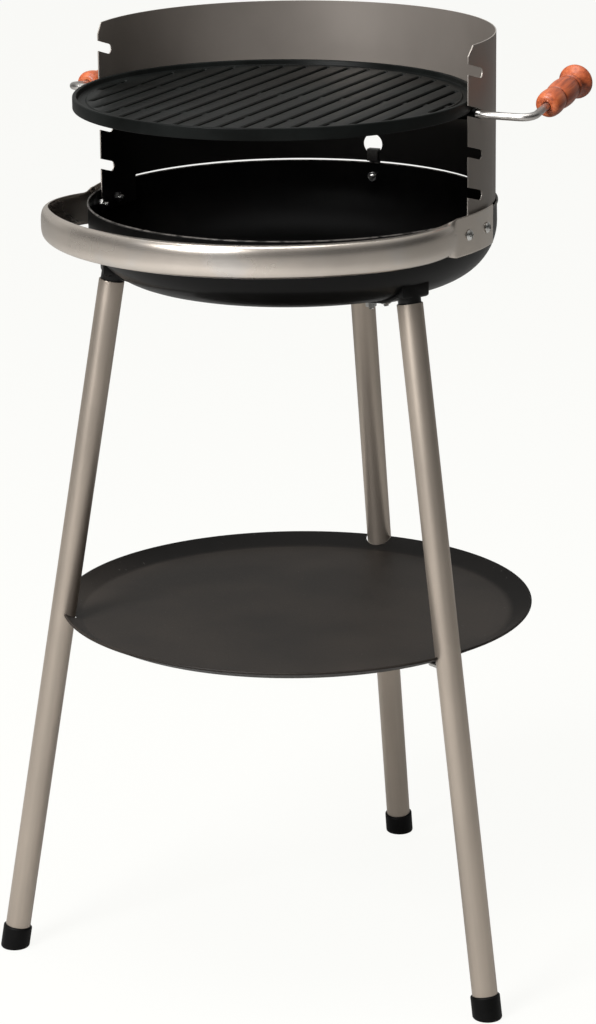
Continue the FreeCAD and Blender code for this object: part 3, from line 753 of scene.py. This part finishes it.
def plateRim():
    edge, lowEdge = plate["edge"], plate["lowEdge"]
    gutter = plateTop - plate["gutterDepth"]
    lipTop = plateHigh.z - plate["lipDrop"]
    under = plateTop - plate["web"]
    outline = roundedOutline([
        (fieldRadius, plateTop, 0), (fieldRadius + plate["gutterDepth"], gutter, plate["gutterRound"]),
        (plateInner - plate["lipFoot"], gutter, plate["gutterFillet"]),
        (plateInner + plate["lipLean"], lipTop, edge),
        (plateRadius, lipTop, edge), (plateRadius, skirtBottom, lowEdge), (plateInner, skirtBottom, lowEdge),
        (plateInner, under, lowEdge), (fieldRadius, under, 0)])
    work = opened(latheMesh("grillPlate", outline, plate["steps"]))
    for side in (1, -1):
        length = plate["sleeveOuter"] - plate["sleeveInner"]
        middle = Vector((side * (plate["sleeveOuter"] + plate["sleeveInner"]) / 2,
                         rod["y"] + axis.y - plateCentre.y, rodZ))
        made = addRod(work, plate["sleeveRadius"], length, plate["sleeveSides"])
        turn = Matrix.Translation(middle) @ Matrix.Rotation(pi / 2, 4, "Y")
        bmesh.ops.transform(work, matrix=turn, verts=made["verts"])
        rib = bmesh.ops.create_cube(work, size=1.0)
        ribTop = under + plate["ribSink"]
        size = Matrix.Diagonal((plateInner - plate["sleeveInner"], plate["ribWidth"], ribTop - rodZ, 1))
        place = Matrix.Translation((side * (plateInner + plate["sleeveInner"]) / 2, middle.y,
                                    (ribTop + rodZ) / 2))
        bmesh.ops.transform(work, matrix=place @ size, verts=rib["verts"])
    return bmeshDone("grillPlate", work)


def castPlate():
    values = chosen(
        plate, "slots", "pitch", "slotWidth", "shoulder", "steps", "web", "bridgeLength", "bridgeDepth",
        "bridgeFront", "bridgeRear", slotReach=fieldRadius - plate["slotStop"], fieldRadius=fieldRadius,
        place=(0.0, 0.0, plateTop))
    mesh = grown(plateRim(), slotTree(values), values, plateFinish())
    work = opened(mesh)
    bmesh.ops.recalc_face_normals(work, faces=work.faces)
    work.to_mesh(mesh)
    work.free()
    thing = standObject("plateBlank", mesh)
    addBevel(thing, plate["bevel"])
    mesh = settled(thing)
    mesh.transform(Matrix.Translation(plateCentre))
    addPiece("grill_plate", mesh, "plate", smooth=40.0)


castPlate()
print("plate cast")


# Handles: bent rods and turned grips

grip = inMm(startY=31, length=78, boreDepth=56, grainShift=70) | {
    "steps": 72, "rises": {"right": 8.0, "left": -6.0}, "grooves": (21.1 * mm, 52.3 * mm, 57.9 * mm),
    "dark": (0.13, 0.022, 0.008, 1), "red": (0.48, 0.105, 0.036, 1), "pale": (0.66, 0.2, 0.075, 1),
}


def gripWay(name):
    rise = radians(grip["rises"][name])
    return Vector((0, cos(rise), sin(rise)))


def platedFinish(name, piece, cloudScale, rough, spread, grainScale, detail):
    steel = Finish(name, {"Metallic": 1.0})
    cloud = steel.noise(cloudScale, 3.0)
    grain = steel.noise(grainScale, detail)
    colour = steel.blend(cloud.step(0.35, 0.7), piece["bright"], piece["dull"])
    return steel.feed(colour, rough + spread * cloud, steel.ridged(grain, 0.02 * mm, 0.3))


def gripFinish():
    wood = Finish("turnedWood", {"Coat Weight": 0.2, "Coat Roughness": 0.2, "Specular IOR Level": 0.35})
    place = wood.attribute("turnPlace")
    along = wood.split(place)[2]
    fibre = wood.noise(1.0, 5.0, place, (420, 420, 28))
    figure = wood.noise(1.0, 3.0, place, (90, 90, 9))
    pores = wood.noise(1.0, 2.0, place, (1500, 1500, 70)).step(0.58, 0.72)
    tone = 0.55 * figure + 0.45 * fibre
    colour = wood.ramp(tone, (0.3, grip["dark"]), (0.72, grip["pale"]), (0.5, grip["red"]))
    for groove in grip["grooves"]:
        near = 1.0 - abs(along - groove).step(0.3 * mm, 1.7 * mm)
        colour = wood.blend(near * 0.8, colour, grip["dark"])
    colour = wood.blend(pores * 0.45, colour, grip["dark"])
    return wood.feed(colour, 0.38 + 0.14 * fibre, wood.ridged(fibre - pores, 0.05 * mm, 0.25))


def rodTree(values):
    graph, given = newTree("bentRod", values)
    ring = graph.add("CurvePrimitiveCircle", {"Resolution": given["sides"], "Radius": given["radius"]})
    swept = graph.add("CurveToMesh", {"Curve": given, "Profile Curve": ring, "Fill Caps": True})
    return endTree(graph, given, swept)


def rodLine(side, name):
    way = gripWay(name)
    corner = Vector((rodEnds[name], rod["y"], rodZ))
    bendCentre = corner - Vector((rod["bendRadius"], 0, 0)) + way * rod["bendRadius"]
    points = [Vector((rod["innerX"], rod["y"], rodZ))]
    for i in range(rod["bendSteps"] + 1):
        a = pi / 2 * i / rod["bendSteps"]
        points.append(bendCentre - way * (rod["bendRadius"] * cos(a))
                      + Vector((rod["bendRadius"] * sin(a), 0, 0)))
    points.append(corner + way * (grip["startY"] - rod["y"] + rod["intoGrip"]))
    return polyLine("rodLine", [(side * p.x + axis.x, p.y + axis.y, p.z) for p in points])


def bowed(a, via, b, count):
    # a curve from a to b that passes through via halfway
    bow = [2 * v - (p + q) / 2 for p, v, q in zip(a, via, b)]
    shares = [i / count for i in range(count + 1)]
    return [tuple((1 - t) ** 2 * p + 2 * t * (1 - t) * c + t * t * q for p, c, q in zip(a, bow, b))
            for t in shares]


def gripOutline():
    # (r, z) from the rod's end to the crown of the knob, in millimetres
    shape = [(3.6, 0.7), (4.2, 0.1)] + bowed((6.5, 0.1), (9.9, 2.3), (11.2, 7.0), 8)
    shape += bowed((11.2, 7.0), (11.35, 13.6), (10.4, 20.2), 8)[1:]
    shape += [(10.0, 20.7), (9.7, 21.1), (10.0, 21.6)] + bowed((10.4, 22.0), (11.9, 36.7), (10.3, 51.4), 14)
    shape += [(10.0, 51.9), (9.6, 52.3), (10.0, 52.7)]
    shape += bowed((10.3, 53.0), (11.3, 55.0), (10.1, 57.0), 6) + [(9.7, 57.5), (9.4, 57.9)]
    shape += bowed((9.5, 58.6), (11.0, 63.0), (14.0, 67.2), 8)
    shape += bowed((14.0, 67.2), (14.8, 70.5), (13.2, 73.6), 8)[1:]
    shape += [(12.2, 74.8), (10.4, 76.0), (7.8, 77.1), (4.0, 77.8)]
    return [(r * mm, z * mm) for r, z in shape] + [(0.0, grip["length"])]


def turnGrip(side, name, finish):
    outline = gripOutline()
    bore = [(0.0, grip["boreDepth"]), (outline[0][0], grip["boreDepth"])]
    mesh = latheMesh("grip" + name, bore + outline, grip["steps"])
    keepPlaces(mesh, "turnPlace", (side * grip["grainShift"], 0, 0))  # its own stretch of wood
    way = gripWay(name)
    corner = axis + Vector((side * rodEnds[name], rod["y"], rodZ))
    start = corner + way * ((grip["startY"] - rod["y"]) / way.y)
    mesh.transform(Matrix.Translation(start) @ way.to_track_quat("Z", "Y").to_matrix().to_4x4())
    addPiece("wooden_grip_" + name, mesh, "plate", finish, 70.0)


def makeHandles():
    values = chosen(rod, "radius", "sides")
    tree = rodTree(values)
    steel = platedFinish("rodSteel", rod, 45.0, 0.26, 0.14, 260.0, 3.0)
    wood = gripFinish()
    for side, name in ((1, "right"), (-1, "left")):
        mesh = grown(rodLine(side, name), tree, values, steel)
        addPiece("handle_rod_" + name, mesh, "plate")
        turnGrip(side, name, wood)


makeHandles()
print("handles bent and turned")


# Legs: one tube, repeated round the bowl's axis

leg = inMm(radius=11, wall=1.2, floorRadius=258, start=7, topZ=606, edge=0.5, boreShown=30) | {
    "splay": radians(9.52), "steps": 64, "firstAzimuth": radians(92.8),
    "silver": (0.53, 0.455, 0.383, 1), "shade": (0.44, 0.38, 0.322, 1),
}
legAzimuths = [leg["firstAzimuth"] + 2 * pi * i / len(legSides) for i in range(len(legSides))]
legLean = Matrix.Translation((leg["floorRadius"], 0, 0)) @ Matrix.Rotation(-leg["splay"], 4, "Y")


def legFinish():
    paint = Finish("legSilver", {"Metallic": 0.75})
    place = paint.attribute("legPlace")
    drawn = paint.noise(1.0, 2.0, place, (220, 220, 3))
    cloud = paint.noise(1.0, 4.0, place, (40, 40, 9))
    flake = paint.noise(1800.0, 1.0)
    colour = paint.blend((0.7 * cloud + 0.3 * drawn).step(0.3, 0.7), leg["shade"], leg["silver"])
    return paint.feed(colour, 0.33 + 0.1 * cloud + 0.05 * drawn, paint.ridged(flake + drawn, 0.02 * mm, 0.25))


def tripodTree(values):
    graph, given = newTree("tripod", values)
    points = graph.add("MeshLine", {
        "Count": given["legs"], "Start Location": given["middle"], "Offset": (0, 0, 0)})
    turns = graph.add("InputIndex") * (2 * pi) / given["legs"]
    azimuth = given["firstAzimuth"] + turns
    copies = graph.copied(points, given, Rotation=graph.joined(0.0, 0.0, azimuth))
    return endTree(graph, given, copies)


def drawLegs():
    top = leg["topZ"] / cos(leg["splay"])
    inner = leg["radius"] - leg["wall"]
    edge = leg["edge"]
    outline = roundedOutline([
        (inner, leg["start"], 0), (leg["radius"], leg["start"], edge), (leg["radius"], top, edge),
        (inner, top, edge), (inner, top - leg["boreShown"], 0)])
    mesh = latheMesh("legTubes", outline, leg["steps"], closed=True)
    keepPlaces(mesh, "legPlace")
    mesh.transform(legLean)
    values = chosen(leg, "firstAzimuth", legs=len(legSides), middle=tuple(axis))
    mesh = grown(mesh, tripodTree(values), values, legFinish())
    addPiece("leg_tubes", mesh, "stand", replaced=["leg_tube_" + side for side in legSides])


drawLegs()
print("legs drawn")


# Foot caps, leg brackets and the rear strap keep their solids' shapes, with softened edges

trim = inMm(footEdge=1.2, bracketEdge=0.6, strapEdge=0.25) | {
    "footTones": ((0.002, 0.002, 0.002, 1), (0.005, 0.005, 0.005, 1)),
    "bracketTones": ((0.003, 0.003, 0.003, 1), (0.009, 0.0086, 0.0082, 1)),
    "strapTones": ((0.03, 0.028, 0.026, 1), (0.055, 0.051, 0.047, 1)),
}


def speckledFinish(name, tones, shine, rough, grainScale, depth):
    paint = Finish(name, {"Specular IOR Level": shine})
    grain = paint.noise(grainScale, 2.0)
    cloud = paint.noise(38.0, 4.0)
    colour = paint.blend((0.5 * grain + 0.5 * cloud).step(0.4, 0.68), *tones)
    return paint.feed(colour, rough + 0.12 * cloud, paint.ridged(grain, depth, 0.4))


def fitTrim():
    rubber = speckledFinish("footPlastic", trim["footTones"], 0.12, 0.46, 1300.0, 0.06 * mm)
    black = speckledFinish("bracketPaint", trim["bracketTones"], 0.2, 0.3, 700.0, 0.04 * mm)
    strap = speckledFinish("strapPaint", trim["strapTones"], 0.4, 0.38, 700.0, 0.04 * mm)

    def soften(node, edge, finish):
        addPiece(node, softenedCopy(node, trim[edge]), "stand", finish)

    for side in legSides:
        soften("foot_cap_" + side, "footEdge", rubber)
        soften("leg_bracket_" + side, "bracketEdge", black)
    soften("rear_strap", "strapEdge", strap)


fitTrim()
print("caps, brackets and strap fitted")


# Tray: spun with a rolled edge, then let in around the legs

trayLow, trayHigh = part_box("storage_tray")
tray = inMm(beadRadius=1.2, lipWidth=16, lipRise=9, sheet=1, bend=6, legPlay=1, collarDrop=3, bevel=0.25,
            columns=120) | {
    "steps": 200, "beadStart": 125.0, "beadEnd": -115.0, "beadSteps": 14,
    "dark": (0.0135, 0.0105, 0.0085, 1), "grey": (0.036, 0.029, 0.0238, 1), "speck": (0.12, 0.114, 0.105, 1),
    # the last colour here is painted shade, for the bend at the rear
    "soot": (0.003, 0.0028, 0.0026, 1),
}
trayRim = (trayHigh.x - trayLow.x) / 2 - tray["beadRadius"]
trayRimZ = trayHigh.z - tray["beadRadius"] + tray["sheet"] / 2
trayFloorZ = trayRimZ - tray["lipRise"]
trayFloorRadius = trayRim - tray["lipWidth"]


def trayFinish():
    paint = Finish("trayPaint", {"Specular IOR Level": 0.22})
    x, y, z = paint.split(paint.place)
    reach = paint.vector("LENGTH", paint.joined(x - axis.x, y - axis.y, 0.0))
    bend = reach.step(trayFloorRadius - 5 * mm, trayFloorRadius + 3 * mm)
    paintedShade = bend * y.step(axis.y - 60 * mm, axis.y + 90 * mm)  # painted shade: the bend at the rear is painted darker
    cloud = paint.noise(8.0, 5.0)
    grain = paint.noise(760.0, 3.0)
    speck = paint.noise(330.0, 1.0).step(0.76, 0.8)
    colour = paint.blend((0.7 * cloud + 0.3 * grain).step(0.32, 0.68), tray["dark"], tray["grey"])
    colour = paint.blend(paintedShade * 0.85, colour, tray["soot"])
    colour = paint.blend(speck * 0.5, colour, tray["speck"])
    return paint.feed(colour, 0.44 + 0.2 * cloud + 0.2 * paintedShade, paint.ridged(grain, 0.08 * mm, 0.3))


def legColumns(radius):
    # columns along the three legs, leaning with them, at the tray's height
    work = bmesh.new()
    lift = Matrix.Translation((0, 0, trayFloorZ / cos(leg["splay"])))
    for azimuth in legAzimuths:
        made = addRod(work, radius, tray["columns"], leg["steps"])
        turn = ontoAxis @ Matrix.Rotation(azimuth, 4, "Z")
        bmesh.ops.transform(work, matrix=turn @ legLean @ lift, verts=made["verts"])
    return bmeshDone("legColumns", work)


def trayLine(drop):
    # the sheet's upper or lower line, from the middle to the rim
    return roundedOutline([(0, trayFloorZ - drop, 0), (trayFloorRadius, trayFloorZ - drop, tray["bend"]),
                           (trayRim, trayRimZ - drop, 0)])


def spinTray():
    slope = degrees(atan2(tray["lipRise"], tray["lipWidth"]))
    upper, lower = trayLine(0.0), trayLine(tray["sheet"])
    beadMiddle = (trayRim, trayRimZ - tray["sheet"] / 2)
    bead = arcPoints(beadMiddle, tray["beadRadius"], slope + tray["beadStart"], slope + tray["beadEnd"],
                     tray["beadSteps"])
    mesh = latheMesh("storageTray", upper[:-1] + bead + lower[::-1][1:], tray["steps"])
    mesh.transform(ontoAxis)
    gapRadius = leg["radius"] + tray["legPlay"]
    mesh = carved(mesh, legColumns(gapRadius), "DIFFERENCE")
    collarZ = trayRimZ - tray["collarDrop"]
    inside = [point for point in lower if point[1] < collarZ]
    inside += [(inside[-1][0], collarZ), (0.0, collarZ)]
    region = latheMesh("trayInside", inside, tray["steps"])
    region.transform(ontoAxis)
    collars = carved(legColumns(gapRadius + tray["sheet"]), region, "INTERSECT")
    collars = carved(collars, legColumns(gapRadius), "DIFFERENCE")
    thing = standObject("trayBlank", bmeshDone("storageTray", opened(mesh, collars)))
    addBevel(thing, tray["bevel"], 1)
    addPiece("storage_tray", settled(thing), "stand", trayFinish(), 40.0)


spinTray()
print("tray spun and let in")


# Screws and nuts, set on their seats by one tree

fastener = inMm(shank=2.4, headRadius=4.8, headHeight=3.2, driveWidth=1.2, driveReach=2.7, driveDepth=1.4,
                nutFlats=8, nutHeight=4, thread=0.8, threadDepth=0.35, rim=0.6, seatGap=0.1, railPast=7.4,
                sheetPast=9, strapStack=1.3, chamfer=0.7, tip=0.4, point=0.6, edge=0.2, easing=0.1,
                drillPast=1) | {
    "sides": 28, "domeSteps": 8, "nutSteps": 36,
    "bright": (0.66, 0.66, 0.645, 1), "dull": (0.45, 0.44, 0.42, 1),
}
railSeats = {"angles": (-9.5, 1.5), "rear": 90.0}
boltSeats = inMm(radius=115, halfGap=8, strapSheet=2.5)


def screwHead(shankLength):
    # seat at z = 0, dome along +Z, shank along -Z
    rise, head, shank = fastener["headHeight"], fastener["headRadius"], fastener["shank"]
    domed = rise - fastener["rim"]
    domeRadius = (head ** 2 + domed ** 2) / (2 * domed)
    outer = degrees(acos(head / domeRadius))
    dome = arcPoints((0.0, rise - domeRadius), domeRadius, outer, 90.0, fastener["domeSteps"])
    dome[-1] = (0.0, dome[-1][1])
    pitch = fastener["thread"]
    thread = []
    for i in range(int(shankLength / pitch)):
        thread += [(shank, -pitch * (i + 0.4)), (shank - fastener["threadDepth"], -pitch * (i + 0.9))]
    tip = thread[-1][1] - fastener["tip"]
    edge = fastener["edge"]
    outline = [(0.0, tip), (shank - fastener["point"], tip)] + thread[::-1]
    outline += [(shank, 0.0), (head - edge, 0.0), (head, edge)] + dome
    mesh = latheMesh("screw", outline, fastener["sides"])
    size = Matrix.Diagonal((2 * fastener["driveReach"], fastener["driveWidth"],
                            2 * fastener["driveDepth"], 1))
    for turn in (0.0, pi / 2):
        work = bmesh.new()
        bmesh.ops.create_cube(work, size=1.0, matrix=Matrix.Translation((0, 0, rise))
                              @ Matrix.Rotation(turn, 4, "Z") @ size)
        mesh = carved(mesh, bmeshDone("drive", work), "DIFFERENCE")
    return mesh


def hexNut():
    # seat at z = 0, along +Z, with both rims turned down
    work = bmesh.new()
    height = fastener["nutHeight"]
    corner = fastener["nutFlats"] / sqrt(3)
    made = addRod(work, corner, height, 6)
    bmesh.ops.translate(work, verts=made["verts"], vec=(0, 0, height / 2))
    flat = fastener["nutFlats"] / 2 - fastener["easing"]
    wide = corner + fastener["edge"]
    low, high = fastener["chamfer"], height - fastener["chamfer"]
    cone = [(0.0, 0.0), (flat, 0.0), (wide, low), (wide, high), (flat, height), (0.0, height)]
    nut = carved(bmeshDone("nut", work), latheMesh("nutTurned", cone, fastener["nutSteps"]), "INTERSECT")
    bore = fastener["shank"] - fastener["edge"]
    below, above = -fastener["drillPast"], height + 2 * fastener["drillPast"]
    drill = [(0.0, below), (bore, below), (bore, above), (0.0, above)]
    return carved(nut, latheMesh("nutBore", drill, fastener["sides"]), "DIFFERENCE")


def seatTree(values):
    graph, given = newTree("fastenersOnSeats", values)
    way = graph.add("InputNamedAttribute", {"Name": "seatWay"}, data_type="FLOAT_VECTOR")
    turn = graph.add("FunctionNodeAlignRotationToVector", {"Vector": way}, axis="Z")
    shape = graph.add("ObjectInfo", {"Object": given["fastener"]}, "Geometry")
    return endTree(graph, given, graph.copied(given, shape, Rotation=turn))


def seatMesh(seats):
    # a vertex for each seat, with the way that its fastener points
    mesh = bpy.data.meshes.new("seats")
    mesh.from_pydata([place + axis for place, way in seats], [], [])
    ways = mesh.attributes.new("seatWay", "FLOAT_VECTOR", "POINT")
    for value, (place, way) in zip(ways.data, seats):
        value.vector = way
    return mesh


def radialSeats(radius, angles, sign):  # round the bowl, at the rail's height
    seats = []
    for angle in angles:
        out = Vector((cos(radians(angle)), sin(radians(angle)), 0))
        seats.append((out * radius + Vector((0, 0, railZ)), out * sign))
    return seats


def bracketSeats(offset, sign):
    domeZ, domeRadius = bowlDome()
    seats = []
    for azimuth in legAzimuths:
        spin = Matrix.Rotation(azimuth, 3, "Z")
        for y in (-boltSeats["halfGap"], boltSeats["halfGap"]):
            drop = sqrt(domeRadius ** 2 - boltSeats["radius"] ** 2 - y ** 2)
            out = Vector((boltSeats["radius"], y, -drop)).normalized()
            place = Vector((0, 0, domeZ)) + out * (domeRadius + offset)
            seats.append((spin @ place, spin @ out * sign))
    return seats


def setFasteners():
    zinc = platedFinish("zincPlate", fastener, 240.0, 0.2, 0.16, 2200.0, 1.0)
    gap = fastener["seatGap"]
    bothSides = [side for angle in railSeats["angles"] for side in (angle, 180.0 - angle)]
    frontPair, rearPair, strapSide = bothSides[:2], bothSides[2:], [railSeats["rear"]]
    strapOuter = bowlOuter + fastener["strapStack"]
    longScrew = standObject("longScrew", screwHead(rail["tabRadius"] - shieldInner + fastener["railPast"]))
    shortScrew = standObject("shortScrew", screwHead(bowl["wall"] + fastener["sheetPast"]))
    nut = standObject("nut", hexNut())
    tree = seatTree({"fastener": nut})
    sets = [
        ("rail_screws", longScrew, radialSeats(rail["tabRadius"] + gap, bothSides, 1)),
        ("rail_nuts", nut, radialSeats(bowlInner - gap, frontPair, -1)
         + radialSeats(shieldInner - gap, rearPair, -1)),
        ("strap_screw", shortScrew, radialSeats(strapOuter + gap, strapSide, 1)),
        ("strap_nut", nut, radialSeats(bowlInner - gap, strapSide, -1)),
        ("bracket_bolts", shortScrew, bracketSeats(-bowl["wall"] - gap, -1)),
        ("bracket_nuts", nut, bracketSeats(boltSeats["strapSheet"] + gap, 1)),
    ]
    for node, shape, seats in sets:
        mesh = grown(seatMesh(seats), tree, {"fastener": shape}, zinc)
        addPiece(node, mesh, "stand", smooth=30.0)
    for shape in (longScrew, shortScrew, nut):
        bpy.data.objects.remove(shape)
    pins = nodes["tray_pins"].data
    pins.materials.clear()
    pins.materials.append(zinc)


setFasteners()
print("screws and nuts set")


# Floor, light and camera

studio = {
    "floorSize": 40.0, "floorTone": (0.84, 0.84, 0.83, 1), "bounceTone": (0.3, 0.29, 0.28, 1),
    "white": (1.0, 1.0, 0.975, 1), "shadowShare": 0.08, "glossyShare": 0.55,
    "dimLevel": 0.03, "skyLevel": 0.5, "backLevel": 0.38, "lampAim": 0.45,
    "camera": {"turn": radians(24.8775), "distance": 3.1187, "height": 1.30082, "aim": 0.323,
               "tilt": radians(-1.1476), "pan": radians(-0.0333), "roll": radians(-0.6227),
               "lens": 36.0 * 3712.48 / 1024},
    "lamps": [("keyLamp", (-0.65, -2.55, 2.1), 1.2, 100.0), ("topLamp", (-0.1, -0.3, 2.8), 1.8, 34.0)],
}


def layFloor():
    work = bmesh.new()
    bmesh.ops.create_grid(work, x_segments=1, y_segments=1, size=studio["floorSize"] / 2)
    floor = standObject("floor", bmeshDone("floor", work))
    material = bpy.data.materials.new("paleFloor")
    material.use_nodes = True
    graph = Graph(material.node_tree)
    material.node_tree.nodes.remove(material.node_tree.nodes["Principled BSDF"])
    seen = graph.add("LightPath", out="Is Camera Ray")
    shown = seen + studio["glossyShare"] * seen["Is Glossy Ray"]
    tone = graph.add("Mix", {0: shown, 6: studio["bounceTone"], 7: studio["floorTone"]}, 2, data_type="RGBA")
    lit = graph.add("BsdfDiffuse", {"Color": tone})
    glow = graph.add("Emission", {"Color": studio["white"], "Strength": 1.0})
    mixed = graph.add("MixShader", {0: seen * (1.0 - studio["shadowShare"]), 1: lit, 2: glow})
    graph.plug(mixed, material.node_tree.nodes["Material Output"].inputs["Surface"])
    floor.data.materials.append(material)


def lightStudio():
    world = bpy.data.worlds.new("studio")
    scene.world = world
    world.use_nodes = True
    graph = Graph(world.node_tree)
    x, y, z = graph.split(graph.add("TexCoord"))
    behind = cos(studio["camera"]["turn"]) * y - sin(studio["camera"]["turn"]) * x
    level = studio["dimLevel"] + studio["skyLevel"] * z.step(0.3, 0.95)
    level = level + studio["backLevel"] * behind.step(0.1, 0.8) * (1.0 - z.step(0.3, 0.9))
    seen = graph.add("LightPath", out="Is Camera Ray")
    strength = seen + (1.0 - seen) * level
    back = world.node_tree.nodes["Background"]
    back.inputs["Color"].default_value = studio["white"]
    graph.plug(strength, back.inputs["Strength"])
    for name, place, size, power in studio["lamps"]:
        data = bpy.data.lights.new(name, "AREA")
        data.shape = "DISK"
        data.size = size
        data.energy = power
        lamp = standObject(name, data)
        aim = axis + Vector((0, 0, studio["lampAim"])) - Vector(place)
        lamp.location = place
        lamp.rotation_euler = aim.to_track_quat("-Z", "Y").to_euler()


def setCamera():
    plan = studio["camera"]
    data = bpy.data.cameras.new("camera")
    data.sensor_width = 36.0
    data.lens = plan["lens"]
    camera = standObject("camera", data)
    place = axis + Vector((plan["distance"] * sin(plan["turn"]),
                           -plan["distance"] * cos(plan["turn"]), plan["height"]))
    look = (axis + Vector((0, 0, plan["aim"])) - place).to_track_quat("-Z", "Y").to_matrix()
    small = (Matrix.Rotation(-plan["tilt"], 3, "X") @ Matrix.Rotation(plan["pan"], 3, "Y")
             @ Matrix.Rotation(plan["roll"], 3, "Z"))
    camera.matrix_world = Matrix.Translation(place) @ (look @ small).to_4x4()
    scene.camera = camera


layFloor()
lightStudio()
setCamera()
scene.view_settings.view_transform = "Standard"
print("floor, light and camera set")
